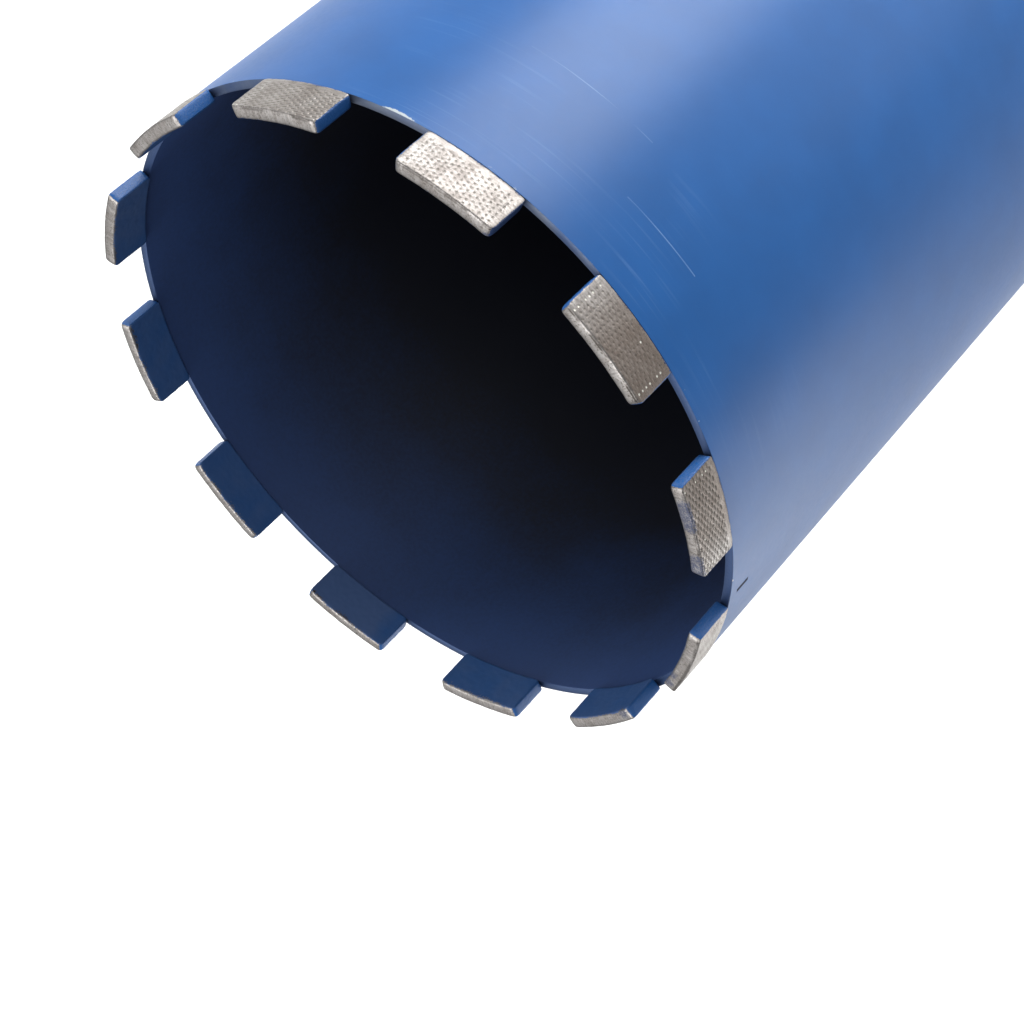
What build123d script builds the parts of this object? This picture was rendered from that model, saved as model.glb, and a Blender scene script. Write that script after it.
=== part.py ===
from build123d import *
from math import cos, degrees, radians, sin, sqrt
import os

# Wet diamond core bit. A thin steel barrel carries the cutting crown, twelve curved diamond segments brazed on
# its open rim. The back end is closed by a turned plate, and a threaded hub screws on the drill spindle.
# Z = 0 is the hub's mouth face, where the spindle's shoulder seats. +Z runs along the axis to the crown.
# All sizes are in millimetres, and angles in degrees.

# Barrel: welded steel tube
TUBE_OD = 161.4
TUBE_WALL = 2.0
TUBE_LENGTH = 450.0
RIM_EDGE = 0.2  # broken edge of the open rim

# Cutting crown: the segments stand proud of the wall on both sides, so that the barrel runs free in its kerf
SEGMENT_COUNT = 12
SEGMENT_LENGTH = 23.6  # along the outer arc
SEGMENT_HEIGHT = 10.7
PROUD_OUTSIDE = 0.3
PROUD_INSIDE = 0.7
SEGMENT_CORNER = 0.7  # radius of the upright corners
SEGMENT_BEVEL = 0.35  # bevel round the cutting face

# Back plate: a flange that the tube butts on, and a spigot that centres the tube
FLANGE_THICKNESS = 5.0
SPIGOT_DEPTH = 4.0
SPIGOT_CLEARANCE = 0.05  # radial, spigot to tube
SPIGOT_CHAMFER = 1.0
FLANGE_CHAMFER = 2.0  # lower edge of the flange

# Hub
HUB_OD = 54.0
HUB_LENGTH = 42.0  # from the mouth to the back plate
HUB_STEP = 7.0  # shoulder that seats against the back plate, measured radially
HUB_CLEARANCE = 0.05  # radial, hub spigot to plate
HUB_CHAMFER = 1.5
THREAD_MAJOR = 31.75  # 1-1/4"-7 UNC
THREAD_MINOR = 28.0  # bore before threading
LEAD_IN = 0.5  # radial clearance of the lead-in over the major diameter
FLAT_DEPTH = 4.0  # how deep each spanner flat is milled, which leaves 46 across the two
FLAT_WIDTH = 22.0  # room for the spanner, along the axis
FLAT_FROM_MOUTH = 8.0

# Weld beads
BARREL_WELD_LEG = 1.6  # depth of the V on each side
BARREL_WELD_CROWN = 0.15  # how far the dressed bead stands out of the tube, less than the segments do
HUB_WELD_LEG = 5.0
HUB_WELD_THROAT = 0.72  # share of the leg that the throat has: 0.71 is flat, and more is convex

# Levels and radii that several pieces share
flange_bottom = HUB_LENGTH
flange_top = flange_bottom + FLANGE_THICKNESS
rim = flange_top + TUBE_LENGTH
spigot_top = flange_top + SPIGOT_DEPTH
tube_r = TUBE_OD / 2
bore_r = tube_r - TUBE_WALL
hub_r = HUB_OD / 2
hub_spigot_r = hub_r - HUB_STEP
minor_r = THREAD_MINOR / 2


def turned(*points):
    """Solid of revolution about Z, from a closed outline of (radius, height) points."""
    outline = Polyline(*points, close=True)
    return revolve(Plane.XZ * make_face(outline), Axis.Z)


def barrel():
    """Tube with a broken edge at the rim and half of the weld's V at the back."""
    return turned(
        (bore_r, flange_top),
        (tube_r - BARREL_WELD_LEG, flange_top),
        (tube_r, flange_top + BARREL_WELD_LEG),
        (tube_r, rim - RIM_EDGE),
        (tube_r - RIM_EDGE, rim),
        (bore_r + RIM_EDGE, rim),
        (bore_r, rim - RIM_EDGE),
    )


def back_plate():
    """Turned disc: flange, spigot in the tube, centre hole for the hub, half of the weld's V."""
    hole_r = hub_spigot_r + HUB_CLEARANCE
    spigot_r = bore_r - SPIGOT_CLEARANCE
    return turned(
        (hole_r, flange_bottom),
        (tube_r - FLANGE_CHAMFER, flange_bottom),
        (tube_r, flange_bottom + FLANGE_CHAMFER),
        (tube_r, flange_top - BARREL_WELD_LEG),
        (tube_r - BARREL_WELD_LEG, flange_top),
        (spigot_r, flange_top),
        (spigot_r, spigot_top - SPIGOT_CHAMFER),
        (spigot_r - SPIGOT_CHAMFER, spigot_top),
        (hole_r, spigot_top),
    )


def barrel_weld():
    """Bead that fills the V between tube and flange, slightly crowned."""
    root = (tube_r - BARREL_WELD_LEG, flange_top)
    upper = (tube_r, flange_top + BARREL_WELD_LEG)
    lower = (tube_r, flange_top - BARREL_WELD_LEG)
    crown = (tube_r + BARREL_WELD_CROWN, flange_top)
    section = make_face(Line(root, upper) + ThreePointArc(upper, crown, lower) + Line(lower, root))
    return revolve(Plane.XZ * section, Axis.Z)


def hub():
    """Turned hub with a through bore, a lead-in at the mouth, and two flats milled into its side."""
    lead_r = THREAD_MAJOR / 2 + LEAD_IN
    body = turned(
        (lead_r, 0),
        (hub_r - HUB_CHAMFER, 0),
        (hub_r, HUB_CHAMFER),
        (hub_r, flange_bottom),
        (hub_spigot_r, flange_bottom),
        (hub_spigot_r, spigot_top),
        (minor_r, spigot_top),
        (minor_r, lead_r - minor_r),
    )
    cutter = Box(HUB_OD, 2 * FLAT_DEPTH, FLAT_WIDTH)
    for side in (1, -1):
        body -= Pos(0, side * hub_r, FLAT_FROM_MOUTH + FLAT_WIDTH / 2) * cutter
    return body


def hub_weld():
    """Fillet bead in the corner between the hub and the plate's back face."""
    toe = (hub_r + HUB_WELD_LEG, flange_bottom)
    heel = (hub_r, flange_bottom - HUB_WELD_LEG)
    corner = (hub_r, flange_bottom)
    bulge = HUB_WELD_LEG * HUB_WELD_THROAT / sqrt(2)
    face = (hub_r + bulge, flange_bottom - bulge)
    section = make_face(Line(corner, toe) + ThreePointArc(toe, face, heel) + Line(heel, corner))
    return revolve(Plane.XZ * section, Axis.Z)


def segment():
    """One curved diamond segment, centred on +X, standing on the rim."""
    outer_r = tube_r + PROUD_OUTSIDE
    inner_r = bore_r - PROUD_INSIDE
    half = degrees(SEGMENT_LENGTH / outer_r) / 2
    corners = {
        (r, a): (r * cos(radians(a)), r * sin(radians(a)))
        for r in (outer_r, inner_r)
        for a in (-half, half)
    }
    outline = (
        ThreePointArc(corners[outer_r, -half], (outer_r, 0), corners[outer_r, half])
        + Line(corners[outer_r, half], corners[inner_r, half])
        + ThreePointArc(corners[inner_r, half], (inner_r, 0), corners[inner_r, -half])
        + Line(corners[inner_r, -half], corners[outer_r, -half])
    )
    band = make_face(outline)
    band = fillet(band.vertices(), SEGMENT_CORNER)
    block = extrude(Pos(0, 0, rim) * band, SEGMENT_HEIGHT)
    return chamfer(block.faces().sort_by(Axis.Z)[-1].edges(), SEGMENT_BEVEL)


def crown():
    """The segments, numbered clockwise as seen from the cutting end."""
    pitch = 360 / SEGMENT_COUNT
    block = segment()
    return {f"segment_{k + 1:02d}": Rot(0, 0, -k * pitch) * block for k in range(SEGMENT_COUNT)}


pieces = {
    "barrel": barrel(),
    "back_plate": back_plate(),
    "barrel_weld": barrel_weld(),
    "hub": hub(),
    "hub_weld": hub_weld(),
    **crown(),
}

os.makedirs("parts", exist_ok=True)
for node, shape in pieces.items():
    export_step(shape, f"parts/{node}.step")
    print(f"{node}: {shape.volume:.0f} mm3, valid {shape.is_valid}")
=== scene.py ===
from math import atan2, cos, hypot, pi, radians, sin, sqrt, tau

import bpy
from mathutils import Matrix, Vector


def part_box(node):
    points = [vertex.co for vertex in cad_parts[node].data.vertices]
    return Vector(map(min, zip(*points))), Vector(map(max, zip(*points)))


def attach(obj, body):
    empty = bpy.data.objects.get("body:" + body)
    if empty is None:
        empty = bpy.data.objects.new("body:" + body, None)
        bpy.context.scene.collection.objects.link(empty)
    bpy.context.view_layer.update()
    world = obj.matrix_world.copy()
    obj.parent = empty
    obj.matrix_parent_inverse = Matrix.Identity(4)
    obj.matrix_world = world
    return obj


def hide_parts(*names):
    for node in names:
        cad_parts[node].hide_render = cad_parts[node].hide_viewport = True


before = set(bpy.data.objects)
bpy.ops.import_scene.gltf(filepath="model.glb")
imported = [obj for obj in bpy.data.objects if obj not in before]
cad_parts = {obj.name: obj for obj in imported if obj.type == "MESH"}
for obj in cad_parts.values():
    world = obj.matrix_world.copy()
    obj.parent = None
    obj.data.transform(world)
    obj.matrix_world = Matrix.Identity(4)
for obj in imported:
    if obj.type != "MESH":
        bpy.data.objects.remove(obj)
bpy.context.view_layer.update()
MM = 0.001


# ---------------------------------------------------------------------------------------- camera
# It looks down into the open crown at 31 degrees, rolled so that the barrel runs off to the upper right. It
# stands 0.4 m from the axis, and 0.24 m above the rim.
CAMERA_LENS = 76.36  # on a 36 mm sensor
CAMERA_PLACE = (0.0798, -0.3924, 0.7403)
CAMERA_TURN = (-49.655, 36.847, -137.235)  # Euler angles in degrees

camera_data = bpy.data.cameras.new("camera")
camera_data.lens = CAMERA_LENS
camera = bpy.data.objects.new("camera", camera_data)
camera.location = CAMERA_PLACE
camera.rotation_euler = [radians(angle) for angle in CAMERA_TURN]
bpy.context.scene.collection.objects.link(camera)
bpy.context.scene.camera = camera


# ---------------------------------------------------------------------------------------- studio
# A matt white floor, a pale even surround, and soft boxes: area lights that face the bit, and one that hangs
# over the floor behind it. Sizes and distances are in metres, and powers in watts.
FLOOR_SIZE = 60.0
FLOOR_COLOUR = "#F4F4F2"
FLOOR_ROUGHNESS = 0.9
SURROUND_COLOUR = "#F2F5FA"
SURROUND_STRENGTH = 0.32
KEY_POWER = 3.75
LOW_POWER = 0.34
REAR_POWER = 5.9
BACK_POWER = 80.0
BACK_SPREAD = 100  # degrees, so that it lights little but the floor
HIGH_POWER = 3.0
SIDE_POWER = 6.0
ALL_ROUND = 180  # degrees, the spread of a box that lights all in front of it


def linear(code):
    """Linear RGBA from an sRGB hex colour."""
    parts = [int(code[i : i + 2], 16) / 255 for i in (1, 3, 5)]
    return [c / 12.92 if c <= 0.04045 else ((c + 0.055) / 1.055) ** 2.4 for c in parts] + [1.0]


def soft_box(name, place, target, width, height, power, spread=ALL_ROUND):
    """Rectangular area light that faces its target."""
    data = bpy.data.lights.new(name, "AREA")
    data.shape = "RECTANGLE"
    data.size = width
    data.size_y = height
    data.energy = power
    data.spread = radians(spread)
    box = bpy.data.objects.new(name, data)
    box.location = place
    box.rotation_euler = (Vector(target) - Vector(place)).to_track_quat("-Z", "Y").to_euler()
    box.visible_camera = False
    bpy.context.scene.collection.objects.link(box)


def around(azimuth, distance, height):
    """Point at an azimuth in degrees and a distance from the bit's axis."""
    return (distance * cos(radians(azimuth)), distance * sin(radians(azimuth)), height)


bpy.ops.object.select_all(action="DESELECT")
bpy.ops.mesh.primitive_plane_add(size=FLOOR_SIZE, location=(0, 0, 0))
floor = bpy.context.object
floor.name = "floor"
floor_paint = bpy.data.materials.new("matt_white_floor")
floor_paint.use_nodes = True
floor_shader = floor_paint.node_tree.nodes["Principled BSDF"]
floor_shader.inputs["Base Color"].default_value = linear(FLOOR_COLOUR)
floor_shader.inputs["Roughness"].default_value = FLOOR_ROUGHNESS
floor.data.materials.append(floor_paint)

# The key box gives the broad highlight down the barrel, the low box draws out that highlight's far edge, and
# the rear box gives the sheen on the barrel's right side
soft_box("key_box", around(-44, 0.62, 0.22), (0, 0, 0.36), width=0.42, height=0.40, power=KEY_POWER)
soft_box("low_box", around(-87, 0.58, 0.10), (0, 0, 0.42), width=0.34, height=0.08, power=LOW_POWER)
soft_box("rear_box", around(190, 1.1, 0.05), (0, 0, 0.40), width=1.15, height=0.35, power=REAR_POWER)
# The back box whitens the floor behind the bit
over_floor = around(101, 1.8, 3.2)
floor_below = around(101, 1.8, 0.0)
soft_box("back_box", over_floor, floor_below, width=4.0, height=3.0, power=BACK_POWER, spread=BACK_SPREAD)
# The high box reaches into the open end, and the side box lifts the barrel's left side
soft_box("high_box", around(-66, 1.2, 1.2), (0, 0, 0.5), width=0.5, height=0.5, power=HIGH_POWER)
soft_box("side_box", around(20, 1.6, 0.6), (0, 0, 0.35), width=0.9, height=0.8, power=SIDE_POWER)

world = bpy.data.worlds.new("pale_surround")
world.use_nodes = True
backdrop = world.node_tree.nodes["Background"]
backdrop.inputs["Color"].default_value = linear(SURROUND_COLOUR)
backdrop.inputs["Strength"].default_value = SURROUND_STRENGTH
bpy.context.scene.world = world
bpy.context.scene.view_settings.view_transform = "Standard"


# ---------------------------------------------------------------------------------------- barrel
# The core barrel: a welded steel tube with a 2 mm wall. Its rim is turned square, and its back end is
# bevelled for the weld. It is sprayed satin blue outside, and only some way in at its open end.
WALL = 2.0 * MM
RIM_EDGE = 0.2 * MM
WELD_BEVEL = 1.6 * MM
ROUND_STEPS = 256
NEAR = 0.01 * MM  # how exactly an edge or a face is picked by its place
SAME = 0.001 * MM  # points this close are one
PAINT_BLUE = "#0E589D"
PAINT_DEEP = "#0C5395"
PAINT_WORN = "#86A7D2"
PAINT_SCUFFED = "#18263E"
# The bore's colours: near black for the painted shade deep inside, and the blue of the overspray near the
# rim
BORE_SHADE_BLACK = "#20222C"
BORE_OVERSPRAY_BLUE = "#314B7E"
RIM_STEEL = "#586172"
RIM_HAZE = "#34486C"
BARE_EDGE = "#B4BCC0"
# Sizes of the finish, in mm; places round the barrel are measured on its skin from +X
PEEL = 1.3  # between the bumps of the spray's orange peel
PEEL_HEIGHT = 0.010
MOTTLE = 14.0  # size of the paint's faint clouds
RUB_ACROSS = 0.8  # between rub lines; real ones are finer, and are coarsened until they show
RUB_ALONG = 28.0  # length of the lines and size of their patches
RUB_PLACE = 86.0  # round the barrel, where they are strongest
RUB_NEAR, RUB_FAR = 24.0, 62.0  # from there, where they start and stop to fade
RUB_DEEP, RUB_END = 14.0, 50.0  # below the rim, where they start and stop to fade
SCRATCH_WIDTH = 0.26
CHIP = 2.2  # size of a chip in the paint along the rim
CHIP_DEEP = 0.9  # how far down the outside the chips reach
CHIP_WIDE = 0.7  # and how far over the rim's face
WORN_PLACE = 65.2  # round the barrel
WORN_LONG = 3.8
WORN_DEEP = 0.7
WORN_TEAR = 0.7  # size of the notches in the worn patch's edge
SCUFF_TURN = -140  # azimuth in degrees
SCUFF_BELOW = 4.6  # the scuff's middle, below the rim
SCUFF_WIDTH = 1.1
SCUFF_LENGTH = 4.2
# Inside the bore, in mm: how the blue overspray gives way to painted shade with the depth
BORE_SHADE_REACH = 74.0  # below the rim
MIST_DRIFT = 40.0  # how far its clouds reach past each other
MIST_FLECK = 30.0  # and its droplets
BORE_SHADE_START = 20.0  # where the blue starts to give way to painted shade
MIST_CLOUD = 24.0
MIST_SPECK = 0.9  # real droplets are finer, and are coarsened until they show
MIST_HEIGHT = 0.02
HAZE_CLOUD = 9.0
KEY_SIDE_WAY = (0.77, -0.64, 0.0)  # the side, towards the key box, where the rim is painted lighter: painted light
KEY_SIDE_LIGHTENING = 0.9  # how much lighter it is painted from the middle to there
RIM_TOOTH = 0.4  # between the marks on the turned rim, coarsened until they show
RIM_HEIGHT = 0.02

barrel_low, barrel_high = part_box("barrel")
tube_r = barrel_high.x
bore_r = tube_r - WALL
back, rim = barrel_low.z, barrel_high.z


def section(name, low_r, high_r, low_z, high_z):
    """Rectangle in the XZ plane, in edit mode: the start of a turned piece's section."""
    bpy.ops.object.select_all(action="DESELECT")
    bpy.ops.mesh.primitive_plane_add(size=1, location=(0, 0, 0), rotation=(pi / 2, 0, 0))
    piece = bpy.context.object
    piece.name = name
    piece.scale = (high_r - low_r, high_z - low_z, 1)
    piece.location = ((low_r + high_r) / 2, 0, (low_z + high_z) / 2)
    bpy.ops.object.transform_apply(location=True, rotation=True, scale=True)
    bpy.ops.object.mode_set(mode="EDIT")
    return piece


def pick(piece, mode, wanted):
    """Selects only the vertices, edges or faces that the test wants."""
    bpy.ops.mesh.select_all(action="DESELECT")
    bpy.ops.mesh.select_mode(type=mode)
    bpy.ops.object.mode_set(mode="OBJECT")
    mesh = piece.data
    if mode == "VERT":
        for vertex in mesh.vertices:
            vertex.select = wanted(vertex.co)
    elif mode == "EDGE":
        for edge in mesh.edges:
            ends = [mesh.vertices[i].co for i in edge.vertices]
            edge.select = wanted((ends[0] + ends[1]) / 2, ends[1] - ends[0])
    else:
        for face in mesh.polygons:
            face.select = wanted(face.center, face.normal)
    bpy.ops.object.mode_set(mode="EDIT")


def turn(piece, steps):
    """Spins the section's outline about Z into a closed turned piece, and leaves edit mode."""
    bpy.ops.mesh.select_all(action="SELECT")
    bpy.ops.mesh.delete(type="ONLY_FACE")
    bpy.ops.mesh.select_all(action="SELECT")
    bpy.ops.mesh.spin(steps=steps, angle=tau, center=(0, 0, 0), axis=(0, 0, 1))
    bpy.ops.mesh.select_all(action="SELECT")
    bpy.ops.mesh.remove_doubles(threshold=SAME)
    bpy.ops.mesh.normals_make_consistent(inside=False)
    bpy.ops.object.mode_set(mode="OBJECT")


def finish_edges(piece, angle=30):
    """Smooth shading across every edge flatter than the angle."""
    bpy.ops.object.select_all(action="DESELECT")
    piece.select_set(True)
    bpy.context.view_layer.objects.active = piece
    bpy.ops.object.shade_smooth_by_angle(angle=radians(angle))


def add(tree, kind, inputs=(), out=0, **settings):
    """Adds a node, sets or links its inputs in their order or by name, and gives one of its outputs."""
    node = tree.nodes.new("ShaderNode" + kind)
    for name, value in settings.items():
        setattr(node, name, value)
    for socket, value in inputs.items() if isinstance(inputs, dict) else enumerate(inputs):
        if isinstance(value, bpy.types.NodeSocket):
            tree.links.new(value, node.inputs[socket])
        else:
            node.inputs[socket].default_value = value
    return node.outputs[out]


barrel = section("core_barrel", bore_r, tube_r, back, rim)
pick(barrel, "VERT", lambda co: co.z > rim - MM)
bpy.ops.mesh.bevel(offset=RIM_EDGE, segments=2, affect="VERTICES")
pick(barrel, "VERT", lambda co: co.z < back + MM and co.x > tube_r - MM)
bpy.ops.mesh.bevel(offset=WELD_BEVEL, segments=1, affect="VERTICES")
turn(barrel, ROUND_STEPS)

# Satin enamel sprayed on steel: even blue with a wide soft sheen from its orange peel. Handling has rubbed
# fine light lines round the open end, and the rim's sharp edge has lost its paint in small chips.
enamel = bpy.data.materials.new("satin_blue_enamel")
enamel.use_nodes = True
tree = enamel.node_tree
shader = tree.nodes["Principled BSDF"]
shader.inputs["IOR"].default_value = 1.5
point = add(tree, "TexCoord", out="Object")
point = add(tree, "Mapping", {"Vector": point, "Scale": (1000, 1000, 1000)})  # in mm
x, y, z = (add(tree, "SeparateXYZ", [point], axis) for axis in "XYZ")
radius = add(tree, "VectorMath", [add(tree, "CombineXYZ", [x, y])], "Value", operation="LENGTH")
arc = add(tree, "Math", [add(tree, "Math", [y, x], operation="ARCTAN2"), tube_r / MM], operation="MULTIPLY")
depth = add(tree, "Math", [rim / MM, z], operation="SUBTRACT")  # below the rim
unrolled = add(tree, "CombineXYZ", [arc, depth])

rub_point = add(tree, "Mapping", {
    "Vector": point, "Scale": (1 / RUB_ALONG, 1 / RUB_ALONG, 1 / RUB_ACROSS)})
rub_noise = add(tree, "TexNoise", {"Vector": rub_point, "Scale": 1.0, "Detail": 2.0})
patches = add(tree, "TexNoise", {"Vector": point, "Scale": 1 / RUB_ALONG, "Detail": 2.0})
rubbed = add(tree, "Math", [arc, RUB_PLACE], operation="ADD")
rubbed = add(tree, "Math", [rubbed], operation="ABSOLUTE")
rubbed = add(tree, "MapRange", [rubbed, RUB_FAR, RUB_NEAR, 0.15, 1.0])
rubbed = add(tree, "MapRange", [depth, RUB_END, RUB_DEEP, 0.0, rubbed])
rubbed = add(tree, "MapRange", [patches, 0.44, 0.62, 0.0, rubbed])
rubbed = add(tree, "MapRange", [rub_noise, 0.54, 0.74, 0.0, rubbed])

# Long scratches near the open end: their depth below the rim, place round the barrel, half length and slant
SCRATCHES = ((31.0, -88.7, 15.5, 0.039), (17.0, -118.3, 9.9, -0.021))
scratched = 0.0
for below, middle, half, slant in SCRATCHES:
    along = add(tree, "Math", [arc, middle], operation="SUBTRACT")
    centre = add(tree, "Math", [along, slant, below], operation="MULTIPLY_ADD")
    line = add(tree, "Math", [depth, centre, SCRATCH_WIDTH / 2], operation="COMPARE")
    near = add(tree, "Math", [along, 0.0, half], operation="COMPARE")
    line = add(tree, "Math", [line, near], operation="MULTIPLY")
    line = add(tree, "MapRange", [rub_noise, 0.36, 0.52, 0.0, line])
    scratched = add(tree, "Math", [scratched, line], operation="MAXIMUM")

chip_noise = add(tree, "TexNoise", {"Vector": point, "Scale": 1 / CHIP, "Detail": 4.0})
at_edge = add(tree, "MapRange", [depth, CHIP_DEEP, 0.25])
at_edge = add(tree, "MapRange", [radius, tube_r / MM - CHIP_WIDE, tube_r / MM - 0.15, 0.0, at_edge])
chips = add(tree, "MapRange", [chip_noise, 0.67, 0.70, 0.0, at_edge])
# One larger worn patch between the second and third segments
worn_point = add(tree, "Mapping", {
    "Vector": unrolled, "Location": (WORN_PLACE / WORN_LONG, 0, 0),
    "Scale": (1 / WORN_LONG, 1 / WORN_DEEP, 1)})
worn = add(tree, "VectorMath", [worn_point], "Value", operation="LENGTH")
torn = add(tree, "TexNoise", {"Vector": point, "Scale": 1 / WORN_TEAR, "Detail": 2.0})
worn = add(tree, "Math", [torn, 1.0, worn], operation="MULTIPLY_ADD")
chips = add(tree, "Math", [chips, add(tree, "MapRange", [worn, 1.55, 1.40])], operation="MAXIMUM")
# One short dark scuff along the axis, close to the rim
scuff_place = radians(SCUFF_TURN) * tube_r / MM
scuff = add(tree, "Math", [arc, scuff_place, SCUFF_WIDTH / 2], operation="COMPARE")
lengthways = add(tree, "Math", [depth, SCUFF_BELOW, SCUFF_LENGTH / 2], operation="COMPARE")
scuff = add(tree, "Math", [scuff, lengthways], operation="MULTIPLY")

mottle = add(tree, "TexNoise", {"Vector": point, "Scale": 1 / MOTTLE, "Detail": 6.0})
mottle = add(tree, "MapRange", [mottle, 0.35, 0.65])
colour = add(tree, "Mix", {0: mottle, 6: linear(PAINT_DEEP), 7: linear(PAINT_BLUE)}, 2, data_type="RGBA")
marks = add(tree, "Math", [rubbed, 0.6], operation="MULTIPLY")
marks = add(tree, "Math", [marks, scratched], operation="MAXIMUM")
paled = add(tree, "Math", [marks, 0.45], operation="MULTIPLY")
for amount, shade in ((paled, PAINT_WORN), (scuff, PAINT_SCUFFED), (chips, BARE_EDGE)):
    colour = add(tree, "Mix", {0: amount, 6: colour, 7: linear(shade)}, 2, data_type="RGBA")
tree.links.new(colour, shader.inputs["Base Color"])
grain = add(tree, "TexNoise", {"Vector": point, "Scale": 1 / PEEL, "Detail": 3.0})
rough = add(tree, "Math", [grain, 0.10, 0.34], operation="MULTIPLY_ADD")
rough = add(tree, "Math", [rubbed, 0.10, rough], operation="MULTIPLY_ADD")
rough = add(tree, "Math", [scuff, 0.55, rough], operation="MULTIPLY_ADD")
tree.links.new(rough, shader.inputs["Roughness"])
height = add(tree, "Math", [marks, -0.8, grain], operation="MULTIPLY_ADD")
bump = add(tree, "Bump", {"Strength": 1.0, "Distance": PEEL_HEIGHT * MM, "Height": height})
tree.links.new(bump, shader.inputs["Normal"])
barrel.data.materials.append(enamel)

# Inside the bore: blue overspray near the rim, over steel painted nearly black deeper in. The fall from blue
# to near black with the depth is painted shade of the deep bore.
bore_paint = bpy.data.materials.new("blue_overspray_and_painted_bore_shade")
bore_paint.use_nodes = True
tree = bore_paint.node_tree
shader = tree.nodes["Principled BSDF"]
point = add(tree, "TexCoord", out="Object")
point = add(tree, "Mapping", {"Vector": point, "Scale": (1000, 1000, 1000)})  # in mm
depth = add(tree, "Math", [rim / MM, add(tree, "SeparateXYZ", [point], "Z")], operation="SUBTRACT")
cloud = add(tree, "TexNoise", {"Vector": point, "Scale": 1 / MIST_CLOUD, "Detail": 4.0})
speck = add(tree, "TexNoise", {"Vector": point, "Scale": 1 / MIST_SPECK, "Detail": 3.0})
reach = add(tree, "Math", [cloud, MIST_DRIFT, depth], operation="MULTIPLY_ADD")
reach = add(tree, "Math", [speck, MIST_FLECK, reach], operation="MULTIPLY_ADD")
furthest = BORE_SHADE_REACH + (MIST_DRIFT + MIST_FLECK) / 2
# Blue overspray near the rim, painted shade deeper in
near_rim = add(tree, "MapRange", [reach, furthest, BORE_SHADE_START], interpolation_type="SMOOTHSTEP")
colour = add(tree, "Mix", {0: near_rim, 6: linear(BORE_SHADE_BLACK), 7: linear(BORE_OVERSPRAY_BLUE)}, 2, data_type="RGBA")
tree.links.new(colour, shader.inputs["Base Color"])
rough = add(tree, "Math", [cloud, 0.15, 0.48], operation="MULTIPLY_ADD")
tree.links.new(rough, shader.inputs["Roughness"])
bump = add(tree, "Bump", {"Strength": 1.0, "Distance": MIST_HEIGHT * MM, "Height": speck})
tree.links.new(bump, shader.inputs["Normal"])
barrel.data.materials.append(bore_paint)

# The rim's face: turned steel with a fine tooth, dulled and blued by a haze of overspray in random clouds.
# Towards the key box the haze is thinned, so that side of the rim is painted lighter: painted light.
turned_rim = bpy.data.materials.new("turned_steel_with_paint_haze_and_painted_light")
turned_rim.use_nodes = True
tree = turned_rim.node_tree
shader = tree.nodes["Principled BSDF"]
shader.inputs["Metallic"].default_value = 0.6
point = add(tree, "TexCoord", out="Object")
point = add(tree, "Mapping", {"Vector": point, "Scale": (1000, 1000, 1000)})  # in mm
haze_and_painted_light = add(tree, "TexNoise", {"Vector": point, "Scale": 1 / HAZE_CLOUD, "Detail": 4.0})
# The rim is painted lighter on the side towards the key box: painted light
side = add(tree, "VectorMath", [point, KEY_SIDE_WAY], "Value", operation="DOT_PRODUCT")
haze_and_painted_light = add(tree, "Math", [side, -KEY_SIDE_LIGHTENING / (tube_r / MM), haze_and_painted_light], operation="MULTIPLY_ADD")
haze_and_painted_light = add(tree, "MapRange", [haze_and_painted_light, -0.45, -0.15])
tooth = add(tree, "TexNoise", {"Vector": point, "Scale": 1 / RIM_TOOTH, "Detail": 2.0})
colour = add(tree, "Mix", {0: haze_and_painted_light, 6: linear(RIM_STEEL), 7: linear(RIM_HAZE)}, 2, data_type="RGBA")
tree.links.new(colour, shader.inputs["Base Color"])
rough = add(tree, "Math", [tooth, 0.3, 0.35], operation="MULTIPLY_ADD")
tree.links.new(rough, shader.inputs["Roughness"])
bump = add(tree, "Bump", {"Strength": 1.0, "Distance": RIM_HEIGHT * MM, "Height": tooth})
tree.links.new(bump, shader.inputs["Normal"])
barrel.data.materials.append(turned_rim)

bpy.ops.object.mode_set(mode="EDIT")
pick(barrel, "FACE", lambda center, normal: hypot(center.x, center.y) < bore_r + RIM_EDGE / 4)
barrel.active_material_index = 1
bpy.ops.object.material_slot_assign()
pick(barrel, "FACE", lambda center, normal: normal.z > 0.8)
barrel.active_material_index = 2
bpy.ops.object.material_slot_assign()
bpy.ops.object.mode_set(mode="OBJECT")
finish_edges(barrel)
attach(barrel, "root")
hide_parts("barrel")


# ---------------------------------------------------------------------------------------- crown
# Twelve diamond segments stand on the rim. Each is diamond grit in metal powder, pressed and sintered in a
# curved mould, then brazed on and dressed bare on its outer and cutting faces. The paint covers the rest.
SEGMENTS = 12
SEGMENT_ARC = 23.6 * MM
PROUD_INSIDE = 0.7 * MM  # how far a segment stands in from the barrel's wall
CORNER = 1.2 * MM
EDGE = 0.35 * MM
COLUMNS = 39  # grit is laid in every second column, 1.17 mm apart
ROWS = 18  # and in every second row of a column
ROOT_ROWS = 3  # rows without grit over the braze
PIT_RIM = 0.15 * MM
PIT_DEPTH = 0.12 * MM
UNEVEN = 0.05 * MM  # how far the mould and the grinding leave the faces from true
SEAT = 0.03 * MM  # how far a segment sinks into its braze
MATRIX_GREY = "#A6A29F"
MATRIX_DULL = "#817B77"
MATRIX_BROWN = "#6A5D54"
PIT_DARK = "#58534D"
SMUDGE_BLUE = "#2B395C"
DUSTY_BLUE = "#506A98"
DARK_LINE_COLOUR = "#2F2B27"
PAINT_IN_SHADE = "#1D2440"
PIT_FLOOR = "#8E8982"
# Pale colour for the painted glints of the grit
GLINT_PAINT = "#DAD8CE"
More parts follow.
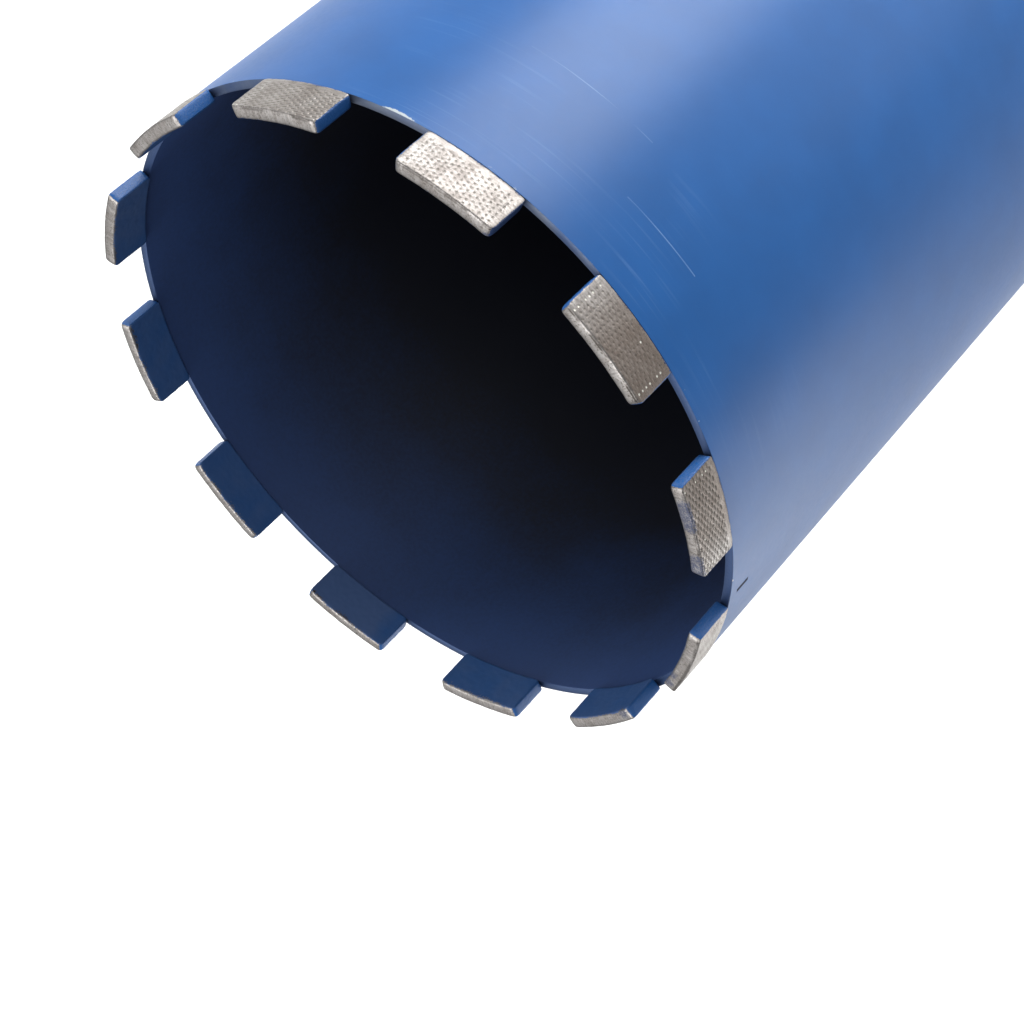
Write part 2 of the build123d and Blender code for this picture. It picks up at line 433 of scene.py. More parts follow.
# Sizes of the finish, in mm
TEAR = 0.35  # grain of the torn powder
STAIN = 4.5
DRAWN = (3.0, 0.45, 0.45)  # grinding marks run along the outer face
ACROSS = (0.4, 3.0, 0.4)  # and across the cutting face
RELIEF = 0.11  # depth of the grain, the marks and the paint's edge
CREEP = 0.35  # how far the paint creeps over the inner edge and up from the root
END_ZONE = 9.2  # from the middle, where the painted glints at a segment's ends begin
DARK_LINE_PLACE = 0.5  # in from the outer face, where the dark line painted along the cutting face lies
DARK_LINE_END = 11.0  # from the middle, where it ends
DUST_AND_SHEEN_START = 11.6  # from the middle, where the dust and painted sheen on the painted ends start
SMUDGE_DOWN = 0.8  # below the top, as far as the smudges run over the cutting face's edge
SMUDGE_ROUND = 10.3  # from the middle, where they start to follow the rounded ends
SMUDGE_THICK = 0.15
NO_SMUDGE = -9.0
NEXT_GRAIN = 40.0  # how far each segment's grain is shifted from the last one's
# Wear of the segments, and their painted light and shade, by number and from 0 to 1, where it isn't the
# usual
TAILS = {2: 0.75, 5: 1.0, 6: 0.05, 9: 0.8}  # how strongly the grit's tails show
TARNISH_AND_SHADE = {2: 0.15, 3: 0.12, 4: 0.7, 5: 0.55, 9: 0.9, 12: 0.2}  # how brown or dusty the bare metal is; these amounts also darken whole segments, one by one, as painted shade
GLINTS = {4: 0.8, 5: 0.6}  # share of the grit cells at the ends painted pale as glints
DARK_LINES = {2: 0.5, 3: 0.6, 4: 0.9, 5: 0.6, 6: 0.5}  # how dark the line painted along the cutting face is
END_DUST_AND_SHEEN = {1: 0.6, 5: 0.7, 6: 0.5, 7: 0.3, 12: 0.8}  # how dusty the painted ends are, and how much they are lightened as painted sheen
END_SHADE = {2: 0.4, 3: 0.8}  # painted shade: how dark the end at positive X is painted
USUAL_TAILS = 0.15
USUAL_GLINTS = 0.01
TARNISH_AND_SHADE_RISE = 0.11  # per mm, as the tarnish and painted shade grow from one end of a segment to the other
DARKER_AT_OTHER_END = 5  # the segment that is browner and darker at its other end
# Smudges of thin paint on some cutting faces: segment, place along the arc and across it, radius
SMUDGES = (
    (3, 11.4, -3.1, 1.3),
    (5, -6.4, -1.2, 1.6),
    (5, -4.0, -1.0, 2.0),
    (5, -1.6, -1.3, 1.3),
    (5, 7.2, -1.2, 1.3),
    (5, 9.6, -1.4, 1.9),
    (6, 5.8, -2.5, 0.9),
    (6, 9.2, -2.3, 1.0),
    (7, -9.4, -1.9, 1.0),
)

crown_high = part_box("segment_01")[1]
seg_r = crown_high.x
seg_wall = seg_r - (bore_r - PROUD_INSIDE)
seg_high = crown_high.z - rim

# One segment, modelled flat: X runs along its arc, Y out of its outer face and Z up from the rim
bpy.ops.object.select_all(action="DESELECT")
bpy.ops.mesh.primitive_cube_add(size=1, location=(0, -seg_wall / 2, seg_high / 2))
blank = bpy.context.object
blank.name = "segment_blank"
blank.scale = (SEGMENT_ARC, seg_wall, seg_high)
bpy.ops.object.transform_apply(location=True, rotation=True, scale=True)
bpy.ops.object.mode_set(mode="EDIT")
pick(blank, "EDGE", lambda mid, way: abs(way.y) < NEAR and mid.z > NEAR)
bpy.ops.mesh.bevel(offset=EDGE, segments=2, affect="EDGES")
pick(blank, "EDGE", lambda mid, way: abs(way.x) > SEGMENT_ARC / 2)
bpy.ops.mesh.subdivide(number_cuts=COLUMNS - 1)
pick(blank, "EDGE", lambda mid, way: abs(way.z) > seg_high / 2)
bpy.ops.mesh.subdivide(number_cuts=ROWS - 1)

# The grit pits: staggered cells of the outer face, inset and pushed in
cell_x = (SEGMENT_ARC - 2 * EDGE) / COLUMNS
cell_z = (seg_high - EDGE) / ROWS


def is_grit(center, normal):
    """Cells of the outer face that hold grit: alternate columns, each half a step from its neighbour."""
    if normal.y < 0.99 or abs(center.x) > SEGMENT_ARC / 2 - CORNER:
        return False
    column = round(center.x / cell_x) + (COLUMNS - 1) // 2
    row = int(center.z / cell_z)
    return row >= ROOT_ROWS and column % 2 == 0 and (row + column // 2) % 2 == 0


pick(blank, "FACE", is_grit)
bpy.ops.mesh.inset(thickness=PIT_RIM, depth=-PIT_DEPTH, use_individual=True)
bpy.ops.object.mode_set(mode="OBJECT")
pit = blank.data.attributes.new("pit", "FLOAT", "POINT")
for face in blank.data.polygons:
    if face.select:
        for index in face.vertices:
            pit.data[index].value = 1.0

# Each end is rounded off at its top and at its root
for vertex in blank.data.vertices:
    x, y, z = vertex.co
    out = abs(x) - (SEGMENT_ARC / 2 - CORNER)
    past = max(CORNER - z, z - (seg_high - CORNER))
    if out > 0 and past > 0:
        pull = 1 - max(out, past) / hypot(out, past)
        vertex.co.x -= out * pull if x > 0 else -out * pull
        vertex.co.z -= past * pull if z > CORNER else -past * pull

# Sintered matrix, ground bare: a dull grey metal with a fine torn grain, pits where grit has broken out, and
# tails behind the grit. The blue enamel lies over it with a ragged edge.
sinter = bpy.data.materials.new("sintered_matrix_and_enamel")
sinter.use_nodes = True
tree = sinter.node_tree
shader = tree.nodes["Principled BSDF"]
point = add(tree, "Attribute", out="Vector", attribute_name="flat_place")  # in mm
pit_here, paint_here, smudge_here, line_and_end_shade, dust_and_sheen = (
    add(tree, "Attribute", out="Fac", attribute_name=name)
    for name in ("pit", "paint", "smudge", "line_and_end_shade", "dust_and_sheen"))
wear = add(tree, "Attribute", out="Vector", attribute_name="wear")
x, y, z = (add(tree, "SeparateXYZ", [point], axis) for axis in "XYZ")
tails, tarnish_and_shade, glint_share = (add(tree, "SeparateXYZ", [wear], axis) for axis in "XYZ")
fine = add(tree, "TexNoise", {"Vector": point, "Scale": 1 / TEAR, "Detail": 3.0})
broad = add(tree, "TexNoise", {"Vector": point, "Scale": 1 / STAIN, "Detail": 3.0})
drawn = add(tree, "Mapping", {"Vector": point, "Scale": [1 / size for size in DRAWN]})
drawn = add(tree, "TexNoise", {"Vector": drawn, "Scale": 1.0, "Detail": 3.0})
across = add(tree, "Mapping", {"Vector": point, "Scale": [1 / size for size in ACROSS]})
across = add(tree, "TexNoise", {"Vector": across, "Scale": 1.0, "Detail": 3.0})
on_top = add(tree, "MapRange", [z, seg_high / MM - 0.5, seg_high / MM - 0.2])
streak = add(tree, "Mix", {0: on_top, 2: drawn, 3: across})

# Tails behind the grit: a dash along the row behind each pit
rows = add(tree, "Math", [z, cell_z / MM], operation="DIVIDE")
odd = add(tree, "Math", [add(tree, "Math", [rows], operation="FLOOR"), 2.0], operation="MODULO")
run = add(tree, "Math", [x, 4 * cell_x / MM], operation="DIVIDE")
run = add(tree, "Math", [odd, 0.5, run], operation="MULTIPLY_ADD")
dash = add(tree, "MapRange", [z, 1.5, 1.9, 0.0, tails])
dash = add(tree, "MapRange", [y, -0.25, -0.1, 0.0, dash])
for place, low, high in ((run, 0.20, 0.32), (rows, 0.05, 0.30)):
    wave = add(tree, "Math", [place, 0.5], operation="PINGPONG")
    dash = add(tree, "MapRange", [wave, low, high, 0.0, dash])

# Some grit cells are painted pale: painted glints on the grit in its pits
cell = add(tree, "VectorMath", [point, (2 * cell_x / MM, 1.0, cell_z / MM)], operation="DIVIDE")
cell = add(tree, "VectorMath", [cell], operation="FLOOR")
lot = add(tree, "TexWhiteNoise", [cell], "Value")
pitted = add(tree, "MapRange", [pit_here, 0.25, 0.75])
painted_glint = add(tree, "Math", [lot, glint_share], operation="LESS_THAN")
painted_glint = add(tree, "Math", [painted_glint, pitted], operation="MULTIPLY")

# The bare metal's shades, each laid over the last
dull = add(tree, "Math", [streak, broad], operation="ADD")
dull = add(tree, "MapRange", [dull, 0.76, 1.28])
torn = add(tree, "MapRange", [on_top, 0.0, 1.0, 0.3, 0.7])
torn = add(tree, "Math", [tarnish_and_shade, 0.5, torn], operation="MULTIPLY_ADD")
torn = add(tree, "MapRange", [fine, 0.54, 0.68, 0.0, torn])
# Brown tarnish, which also serves as painted shade on whole segments
browned_and_shaded = add(tree, "MapRange", [on_top, 1.0, 0.0, 0.0, tarnish_and_shade])
ribs = add(tree, "Math", [dash, 0.55], operation="MULTIPLY")
# A dark line painted along the cutting face near its outer edge, broken up by noise
dark_line = add(tree, "Math", [on_top, line_and_end_shade], operation="MULTIPLY")
dark_line = add(tree, "MapRange", [broad, 0.40, 0.52, 0.0, dark_line])
from_dark_line = add(tree, "Math", [y, DARK_LINE_PLACE], operation="ADD")
from_dark_line = add(tree, "Math", [from_dark_line], operation="ABSOLUTE")
dark_line = add(tree, "MapRange", [from_dark_line, 0.35, 0.12, 0.0, dark_line])
smear = add(tree, "Math", [fine, 2.6, smudge_here], operation="MULTIPLY_ADD")
smear = add(tree, "MapRange", [smear, 0.9, 1.5, 0.0, 0.75])
metal = linear(MATRIX_GREY)
for amount, shade in ((dull, MATRIX_DULL), (pitted, PIT_FLOOR), (browned_and_shaded, MATRIX_BROWN), (torn, PIT_DARK),
                      (ribs, PIT_DARK), (painted_glint, GLINT_PAINT), (dark_line, DARK_LINE_COLOUR), (smear, SMUDGE_BLUE)):
    metal = add(tree, "Mix", {0: amount, 6: metal, 7: linear(shade)}, 2, data_type="RGBA")

# The paint, which is dusty on the inner face, and on the ends lightened by dust specks that also serve as
# painted sheen
ragged = add(tree, "Math", [fine, 1.2, paint_here], operation="MULTIPLY_ADD")
ragged = add(tree, "Math", [broad, 1.6, ragged], operation="MULTIPLY_ADD")
painted = add(tree, "MapRange", [ragged, 1.32, 1.48])
inside = add(tree, "MapRange", [y, -2.6, -2.9])
dust_and_end_sheen = add(tree, "Math", [broad, 0.5, tarnish_and_shade], operation="MULTIPLY_ADD")
dust_and_end_sheen = add(tree, "MapRange", [dust_and_end_sheen, 0.0, 0.6, 0.3, inside])
# Light specks on the painted ends: dust, and painted sheen
specks = add(tree, "MapRange", [fine, 0.40, 0.58, 0.0, dust_and_sheen])
dust_and_end_sheen = add(tree, "Math", [dust_and_end_sheen, specks], operation="MAXIMUM")
coat = add(tree, "Mix", {0: dust_and_end_sheen, 6: linear(PAINT_BLUE), 7: linear(DUSTY_BLUE)}, 2, data_type="RGBA")
# Paint on the ends at positive X of some segments is darkened: painted shade
coat = add(tree, "Mix", {0: line_and_end_shade, 6: coat, 7: linear(PAINT_IN_SHADE)}, 2, data_type="RGBA")
colour = add(tree, "Mix", {0: painted, 6: metal, 7: coat}, 2, data_type="RGBA")
tree.links.new(colour, shader.inputs["Base Color"])
covered = add(tree, "Math", [painted, smear], operation="MAXIMUM")
bare = add(tree, "Math", [1.0, covered], operation="SUBTRACT")
solid = add(tree, "Math", [pit_here, -0.5, 1.0], operation="MULTIPLY_ADD")
bare = add(tree, "Math", [bare, solid], operation="MULTIPLY")
tree.links.new(bare, shader.inputs["Metallic"])
rough = add(tree, "Math", [fine, 0.30, 0.26], operation="MULTIPLY_ADD")
rough = add(tree, "Math", [dull, 0.10, rough], operation="MULTIPLY_ADD")
tree.links.new(rough, shader.inputs["Roughness"])
height = add(tree, "Math", [fine, 0.6, painted], operation="MULTIPLY_ADD")
height = add(tree, "Math", [streak, 0.7, height], operation="MULTIPLY_ADD")
height = add(tree, "Math", [height, dash], operation="SUBTRACT")
smooth = add(tree, "MapRange", [inside, 0.0, 1.0, 1.0, 0.2])
height = add(tree, "Math", [height, smooth], operation="MULTIPLY")
bump = add(tree, "Bump", {"Strength": 1.0, "Distance": RELIEF * MM, "Height": height})
tree.links.new(bump, shader.inputs["Normal"])
blank.data.materials.append(sinter)

# Each segment is a copy of the blank with its own unevenness and wear. It is marked out while it is flat,
# then bent to the crown's radius and turned to its place.
MARKS = (("flat_place", "FLOAT_VECTOR"), ("paint", "FLOAT"), ("smudge", "FLOAT"),
         ("line_and_end_shade", "FLOAT"), ("dust_and_sheen", "FLOAT"), ("wear", "FLOAT_VECTOR"))
top = seg_high / MM
for number in range(1, SEGMENTS + 1):
    segment = blank.copy()
    segment.data = blank.data.copy()
    segment.name = f"diamond_segment_{number:02d}"
    bpy.context.scene.collection.objects.link(segment)
    bpy.ops.object.select_all(action="DESELECT")
    segment.select_set(True)
    bpy.context.view_layer.objects.active = segment
    bpy.ops.object.mode_set(mode="EDIT")
    pick(segment, "VERT", lambda co: co.z > NEAR)
    bpy.ops.transform.vertex_random(offset=UNEVEN, uniform=1.0, normal=0.0, seed=number)
    bpy.ops.object.mode_set(mode="OBJECT")
    smooth = segment.modifiers.new("smooth", "SUBSURF")
    smooth.levels = smooth.render_levels = 1
    bpy.ops.object.modifier_apply(modifier=smooth.name)
    for name, kind in MARKS:
        segment.data.attributes.new(name, kind, "POINT")
    flat, paint, smudge, line_and_end_shading, dust_and_sheen_marks, wearing = (
        segment.data.attributes[name].data for name, kind in MARKS)
    for vertex in segment.data.vertices:
        x, y, z = (c / MM for c in vertex.co)
        here = vertex.index
        flat[here].vector = (x + NEXT_GRAIN * number, y, z)
        # The paint covers the inner face, the ends and the root. Its cover is above 0 within it and below 0
        # outside, about in mm: it is surer away from the cutting face, and leaves the ends' top edges bare.
        inner = -y - seg_wall / MM + CREEP + 0.35 * min(1.5, top - 1.1 - z)
        up = max(0.0, z * MM - seg_high + CORNER)
        end = (SEGMENT_ARC / 2 - CORNER + sqrt(max(0.0, CORNER ** 2 - up ** 2))) / MM
        ends = 2.5 * (abs(x) - end + 0.3) - 3.0 * max(0.0, z - top + 0.5)
        paint[here].value = max(inner, ends, CREEP - z)
        # The smudges lie on the cutting face and on its rounded ends only
        thin = NO_SMUDGE
        lowest = top - SMUDGE_DOWN - max(0.0, abs(x) - SMUDGE_ROUND)
        for wearer, along, across, spot in SMUDGES:
            if wearer == number and z > lowest:
                thin = max(thin, min(SMUDGE_THICK, spot - hypot(x - along, y - across)))
        smudge[here].value = thin
        # Painted shade on some ends at positive X; in the middle, the dark line along the cutting face
        shaded_end = END_SHADE.get(number, 0.0) if x > 0 else 0.0
        line_and_end_shading[here].value = DARK_LINES.get(number, 0.0) if abs(x) < DARK_LINE_END else shaded_end
        dust_and_sheen_marks[here].value = END_DUST_AND_SHEEN.get(number, 0.0) if abs(x) > DUST_AND_SHEEN_START else 0.0
        glint_share_here = GLINTS.get(number, USUAL_GLINTS) if abs(x) > END_ZONE else USUAL_GLINTS
        browner_end = -x if number == DARKER_AT_OTHER_END else x
        brown_and_shade = TARNISH_AND_SHADE.get(number, 0.0) * min(1.0, max(0.0, TARNISH_AND_SHADE_RISE * (browner_end + 10.0)))
        wearing[here].vector = (TAILS.get(number, USUAL_TAILS), brown_and_shade, glint_share_here)
    bend = segment.modifiers.new("bend", "SIMPLE_DEFORM")
    bend.deform_method = "BEND"
    bend.deform_axis = "Z"
    bend.angle = -SEGMENT_ARC / seg_r
    bpy.ops.object.modifier_apply(modifier=bend.name)
    segment.location = (0, seg_r, 0)
    bpy.ops.object.transform_apply(location=True, rotation=False, scale=False)
    segment.rotation_euler = (0, 0, radians(-90 - 360 / SEGMENTS * (number - 1)))
    segment.location = (0, 0, rim - SEAT)
    bpy.ops.object.transform_apply(location=True, rotation=True, scale=False)
    finish_edges(segment, angle=60)
    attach(segment, "root")
    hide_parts(f"segment_{number:02d}")
bpy.data.objects.remove(blank)


# ---------------------------------------------------------------------------------------- back plate
# The steel disc that closes the back end, turned in one piece: a flange that the tube butts on, a spigot
# that centres the tube, and a hole for the hub. Its outside is painted with the barrel, its inside is bare.
FLANGE = 5.0 * MM
SPIGOT_CLEAR = 0.05 * MM
SPIGOT_EDGE = 1.0 * MM
FLANGE_EDGE = 2.0 * MM
HUB_HOLE = 20.05 * MM  # radius
BARE_FROM = 3.0 * MM  # in from the skin, where the paint ends
STEEL = "#A3A6A8"
STEEL_OILED = "#7C7F82"
RUST_BLOOM = "#6B4A35"
# Sizes of the finish, in mm
FEED = 0.55  # between lathe lines; the real feed is 0.2 mm, and is coarsened until it shows
LATHE_DEPTH = 0.03
OIL_STAIN = 15.0
RUST_SPECK = 1.6

plate_low, plate_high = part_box("back_plate")
flange_top = plate_low.z + FLANGE
spigot_r = bore_r - SPIGOT_CLEAR

bpy.ops.object.select_all(action="DESELECT")
bpy.ops.mesh.primitive_cylinder_add(
    vertices=ROUND_STEPS, radius=tube_r, depth=FLANGE, location=(0, 0, plate_low.z + FLANGE / 2))
plate = bpy.context.object
plate.name = "turned_back_plate"
bpy.ops.object.transform_apply(location=True, rotation=False, scale=False)
bpy.ops.object.mode_set(mode="EDIT")
pick(plate, "EDGE", lambda mid, way: mid.z < plate_low.z + NEAR)
bpy.ops.mesh.bevel(offset=FLANGE_EDGE, segments=2, affect="EDGES")
pick(plate, "EDGE", lambda mid, way: mid.z > flange_top - NEAR)
bpy.ops.mesh.bevel(offset=WELD_BEVEL, segments=1, affect="EDGES")
pick(plate, "FACE", lambda center, normal: normal.z > 0.99)
bpy.ops.mesh.inset(thickness=tube_r - WELD_BEVEL - spigot_r)
bpy.ops.mesh.extrude_region_move(TRANSFORM_OT_translate={"value": (0, 0, plate_high.z - flange_top)})
pick(plate, "EDGE", lambda mid, way: mid.z > plate_high.z - NEAR)
bpy.ops.mesh.bevel(offset=SPIGOT_EDGE, segments=2, affect="EDGES")
pick(plate, "FACE", lambda center, normal: normal.z > 0.99 and center.z > plate_high.z - NEAR)
bpy.ops.mesh.inset(thickness=spigot_r - SPIGOT_EDGE - HUB_HOLE)
pick(plate, "FACE", lambda center, normal: normal.z < -0.99)
bpy.ops.mesh.inset(thickness=tube_r - FLANGE_EDGE - HUB_HOLE)
pick(plate, "FACE", lambda center, normal: abs(normal.z) > 0.99 and hypot(center.x, center.y) < MM)
bpy.ops.mesh.bridge_edge_loops()
bpy.ops.object.mode_set(mode="OBJECT")

# Turned mild steel, lightly oiled: a grey metal whose fine lathe lines draw its highlights out, with a
# little rust bloom where the oil is thin
steel = bpy.data.materials.new("turned_mild_steel")
steel.use_nodes = True
tree = steel.node_tree
shader = tree.nodes["Principled BSDF"]
shader.inputs["Metallic"].default_value = 1.0
point = add(tree, "TexCoord", out="Object")
point = add(tree, "Mapping", {"Vector": point, "Scale": (1000, 1000, 1000)})  # in mm
x, y, z = (add(tree, "SeparateXYZ", [point], axis) for axis in "XYZ")
radius = add(tree, "VectorMath", [add(tree, "CombineXYZ", [x, y])], "Value", operation="LENGTH")
feed = add(tree, "Math", [radius, z], operation="ADD")
feed = add(tree, "Math", [feed, FEED], operation="DIVIDE")
lines = add(tree, "TexNoise", {"W": feed, "Scale": 1.0, "Detail": 2.0}, noise_dimensions="1D")
broad = add(tree, "TexNoise", {"Vector": point, "Scale": 1 / OIL_STAIN, "Detail": 4.0})
speck = add(tree, "TexNoise", {"Vector": point, "Scale": 1 / RUST_SPECK, "Detail": 5.0})
oiled = add(tree, "MapRange", [broad, 0.40, 0.62])
cut = add(tree, "MapRange", [lines, 0.45, 0.65, 0.0, 0.25])
bloom = add(tree, "MapRange", [broad, 0.56, 0.66, 0.0, 0.6])
bloom = add(tree, "MapRange", [speck, 0.56, 0.64, 0.0, bloom])
colour = linear(STEEL)
for amount, shade in ((oiled, STEEL_OILED), (cut, STEEL_OILED), (bloom, RUST_BLOOM)):
    colour = add(tree, "Mix", {0: amount, 6: colour, 7: linear(shade)}, 2, data_type="RGBA")
tree.links.new(colour, shader.inputs["Base Color"])
rough = add(tree, "Math", [broad, 0.25, 0.20], operation="MULTIPLY_ADD")
tree.links.new(rough, shader.inputs["Roughness"])
bump = add(tree, "Bump", {"Strength": 1.0, "Distance": LATHE_DEPTH * MM, "Height": lines})
tree.links.new(bump, shader.inputs["Normal"])

plate.data.materials.append(enamel)
plate.data.materials.append(steel)
bpy.ops.object.mode_set(mode="EDIT")
pick(plate, "FACE", lambda center, normal: (
    center.z > plate_low.z + MM and hypot(center.x, center.y) < tube_r - BARE_FROM))
plate.active_material_index = 1
bpy.ops.object.material_slot_assign()
bpy.ops.object.mode_set(mode="OBJECT")
finish_edges(plate)
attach(plate, "root")
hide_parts("back_plate")


# ---------------------------------------------------------------------------------------- hub
# The steel hub that screws on the drill spindle. It is turned, shouldered into the plate's hole, tapped
# right through with a 1-1/4 inch thread of 7 turns to the inch, and milled with two flats for a spanner.
HUB_SIDES = 192
HUB_EDGE = 1.5 * MM
HUB_STEP = 7.0 * MM
PITCH = 25.4 / 7 * MM
MAJOR_R = 15.875 * MM
MINOR_R = 14.0 * MM
LEAD_R = 16.375 * MM
LEAD_SIDES = 96
TURNS = 18  # of the tap, which runs past the hub at both ends
TURN_STEPS = 72
FLAT_DEPTH = 4.0 * MM
FLAT_LOW = 8.0 * MM
FLAT_HIGH = 30.0 * MM
CUTTER_STEP = 0.5  # mm between the marks of the milling cutter, coarsened until they show
CUTTER_SWEEP = 20 * CUTTER_STEP  # and their length
CUTTER_DEPTH = 0.03  # mm

hub_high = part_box("hub")[1]
hub_r = hub_high.x
shoulder = plate_low.z

bpy.ops.object.select_all(action="DESELECT")
bpy.ops.mesh.primitive_cylinder_add(
    vertices=HUB_SIDES, radius=hub_r, depth=shoulder, location=(0, 0, shoulder / 2))
hub = bpy.context.object
hub.name = "threaded_hub"
bpy.ops.object.transform_apply(location=True, rotation=False, scale=False)
bpy.ops.object.mode_set(mode="EDIT")
pick(hub, "EDGE", lambda mid, way: mid.z < NEAR)
bpy.ops.mesh.bevel(offset=HUB_EDGE, segments=2, affect="EDGES")
pick(hub, "FACE", lambda center, normal: normal.z > 0.99)
bpy.ops.mesh.inset(thickness=HUB_STEP)
bpy.ops.mesh.extrude_region_move(TRANSFORM_OT_translate={"value": (0, 0, hub_high.z - shoulder)})
bpy.ops.object.mode_set(mode="OBJECT")

# The tap that cuts the thread: one pitch of its outline, swept up a right-hand helix. Its tooth is 3/4 of
# the pitch wide at the hub's bore, which leaves a flat of 1/4 between turns, and 1/8 at its tip.
tap = section("tap", MINOR_R, MAJOR_R, PITCH / 8, PITCH * 7 / 8)
pick(tap, "VERT", lambda co: co.x > MAJOR_R - NEAR)
bpy.ops.transform.resize(value=(1, 1, 1 / 6))
bpy.ops.mesh.select_all(action="SELECT")
bpy.ops.mesh.delete(type="ONLY_FACE")
pick(tap, "EDGE", lambda mid, way: mid.x < MINOR_R + NEAR)
bpy.ops.mesh.delete(type="EDGE_FACE")
pick(tap, "VERT", lambda co: co.z > PITCH * 0.8)
bpy.ops.mesh.extrude_region_move(TRANSFORM_OT_translate={"value": (0, 0, PITCH / 4)})
bpy.ops.mesh.select_all(action="SELECT")
bpy.ops.transform.translate(value=(0, 0, -2 * PITCH))
bpy.ops.object.mode_set(mode="OBJECT")
helix = tap.modifiers.new("helix", "SCREW")
helix.axis = "Z"
helix.screw_offset = PITCH
helix.iterations = TURNS
helix.steps = helix.render_steps = TURN_STEPS
bpy.ops.object.modifier_apply(modifier=helix.name)
bpy.ops.object.mode_set(mode="EDIT")
bpy.ops.mesh.select_all(action="SELECT")
bpy.ops.mesh.remove_doubles(threshold=NEAR)
for level, way in ((-MM, -1), (hub_high.z + MM, 1)):
    bpy.ops.mesh.select_all(action="SELECT")
    bpy.ops.mesh.bisect(plane_co=(0, 0, level), plane_no=(0, 0, way), use_fill=True, clear_outer=True)
bpy.ops.mesh.select_all(action="SELECT")
bpy.ops.mesh.normals_make_consistent(inside=False)
bpy.ops.object.mode_set(mode="OBJECT")

# A countersink for the lead-in, and the cutter that mills each flat
bpy.ops.object.select_all(action="DESELECT")
lead = LEAD_R - MINOR_R + MM
bpy.ops.mesh.primitive_cone_add(
    vertices=LEAD_SIDES, radius1=LEAD_R + MM, radius2=MINOR_R - MM, depth=lead + MM,
    location=(0, 0, (lead - MM) / 2))
cutters = [tap, bpy.context.object]
for side in (1, -1):
    bpy.ops.object.select_all(action="DESELECT")
    bpy.ops.mesh.primitive_cube_add(size=1, location=(0, side * hub_r, (FLAT_LOW + FLAT_HIGH) / 2))
    bpy.context.object.scale = (3 * hub_r, 2 * FLAT_DEPTH, FLAT_HIGH - FLAT_LOW)
    cutters.append(bpy.context.object)
for cutter in cutters:
    bpy.ops.object.select_all(action="DESELECT")
    hub.select_set(True)
    bpy.context.view_layer.objects.active = hub
    cut = hub.modifiers.new("cut", "BOOLEAN")
    cut.operation = "DIFFERENCE"
    cut.solver = "EXACT"
    cut.object = cutter
    bpy.ops.object.modifier_apply(modifier=cut.name)
    bpy.data.objects.remove(cutter)

# Milled steel: the same metal, with straight cutter marks along each flat
milled = bpy.data.materials.new("milled_mild_steel")
milled.use_nodes = True
tree = milled.node_tree
shader = tree.nodes["Principled BSDF"]
shader.inputs["Metallic"].default_value = 1.0
point = add(tree, "TexCoord", out="Object")
point = add(tree, "Mapping", {"Vector": point, "Scale": (1000, 1000, 1000)})  # in mm
sweep = add(tree, "Mapping", {"Vector": point, "Scale": (1 / CUTTER_SWEEP, 0, 1 / CUTTER_STEP)})
marks = add(tree, "TexNoise", {"Vector": sweep, "Scale": 1.0, "Detail": 2.0})
swept = add(tree, "MapRange", [marks, 0.35, 0.70])
colour = add(tree, "Mix", {0: swept, 6: linear(STEEL), 7: linear(STEEL_OILED)}, 2, data_type="RGBA")
tree.links.new(colour, shader.inputs["Base Color"])
rough = add(tree, "Math", [marks, 0.2, 0.22], operation="MULTIPLY_ADD")
tree.links.new(rough, shader.inputs["Roughness"])
bump = add(tree, "Bump", {"Strength": 1.0, "Distance": CUTTER_DEPTH * MM, "Height": marks})
tree.links.new(bump, shader.inputs["Normal"])

hub.data.materials.append(steel)
hub.data.materials.append(milled)
bpy.ops.object.mode_set(mode="EDIT")
pick(hub, "FACE", lambda center, normal: (
    abs(normal.y) > 0.999 and abs(abs(center.y) - (hub_r - FLAT_DEPTH)) < 0.1 * MM))
hub.active_material_index = 1
bpy.ops.object.material_slot_assign()
bpy.ops.object.mode_set(mode="OBJECT")
finish_edges(hub, angle=25)
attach(hub, "root")
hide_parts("hub")


# ---------------------------------------------------------------------------------------- welds
# Two beads of steel laid round with the bit turning slowly, so that each is a chain of even crescent
# ripples. The barrel's fills its V and is dressed nearly flush; the hub's is left as laid. Both are painted.
BARREL_RIPPLE = 2.4 * MM
BARREL_SWELL = 0.15 * MM  # how far the dressed bead stands out of the barrel
BARREL_LAG = 0.45  # of a ripple, by which its edges trail its middle
BARREL_STEPS = 1260
BARREL_CUTS = 7  # across the bead
HUB_RIPPLE = 2.6 * MM
HUB_LEG = 5.0 * MM
HUB_LAG = 0.6
HUB_BEAD_STEPS = 576
HUB_CUTS = 9

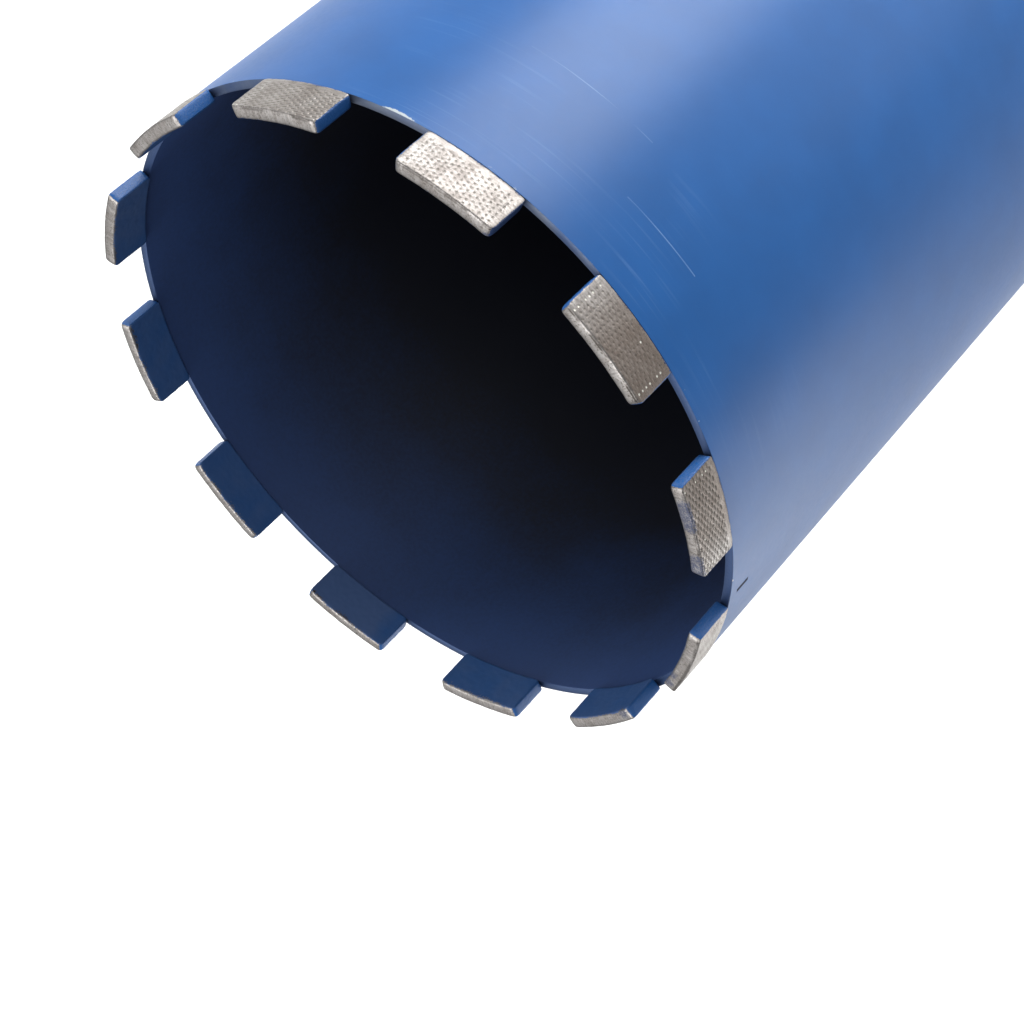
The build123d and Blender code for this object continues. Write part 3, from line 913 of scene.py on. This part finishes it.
barrel_bead_low, barrel_bead_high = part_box("barrel_weld")
weld = section("barrel_weld_bead", tube_r - WELD_BEVEL, tube_r, barrel_bead_low.z, barrel_bead_high.z)
pick(weld, "VERT", lambda co: co.x < tube_r - WELD_BEVEL / 2)
bpy.ops.mesh.merge(type="CENTER")
pick(weld, "EDGE", lambda mid, way: mid.x > tube_r - NEAR)
bpy.ops.mesh.subdivide(number_cuts=BARREL_CUTS)
turn(weld, BARREL_STEPS)
middle = (barrel_bead_low.z + barrel_bead_high.z) / 2
for vertex in weld.data.vertices:
    x, y, z = vertex.co
    if hypot(x, y) > tube_r - NEAR:
        across = (z - middle) / WELD_BEVEL  # -1 to 1
        turned = atan2(y, x) * tube_r / BARREL_RIPPLE - BARREL_LAG * across * across
        ripple = abs(sin(pi * turned))
        swell = BARREL_SWELL * (1 - across * across) * (0.45 + 0.55 * ripple)
        vertex.co.x += x / hypot(x, y) * swell
        vertex.co.y += y / hypot(x, y) * swell
weld.data.materials.append(enamel)
finish_edges(weld, angle=50)
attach(weld, "root")
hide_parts("barrel_weld")

fillet = section("hub_weld_bead", hub_r, hub_r + HUB_LEG, shoulder - HUB_LEG, shoulder)
pick(fillet, "VERT", lambda co: co.x > hub_r + HUB_LEG / 2 and co.z < shoulder - HUB_LEG / 2)
bpy.ops.mesh.dissolve_verts()
pick(fillet, "EDGE", lambda mid, way: abs(way.x) > MM and abs(way.z) > MM)
bpy.ops.mesh.subdivide(number_cuts=HUB_CUTS)
turn(fillet, HUB_BEAD_STEPS)
for vertex in fillet.data.vertices:
    x, y, z = vertex.co
    reach = (hypot(x, y) - hub_r) / HUB_LEG  # 0 at the heel, 1 at the toe
    down = (shoulder - z) / HUB_LEG
    if abs(reach + down - 1) < 0.01:
        across = 2 * reach - 1
        turned = atan2(y, x) * (hub_r + HUB_LEG / 2) / HUB_RIPPLE - HUB_LAG * across * across
        ripple = abs(sin(pi * turned))
        swell = HUB_LEG * (1 - across * across) * (0.02 + 0.07 * ripple)
        vertex.co.x += x / hypot(x, y) * swell
        vertex.co.y += y / hypot(x, y) * swell
        vertex.co.z -= swell
fillet.data.materials.append(enamel)
finish_edges(fillet, angle=60)
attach(fillet, "root")
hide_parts("hub_weld")
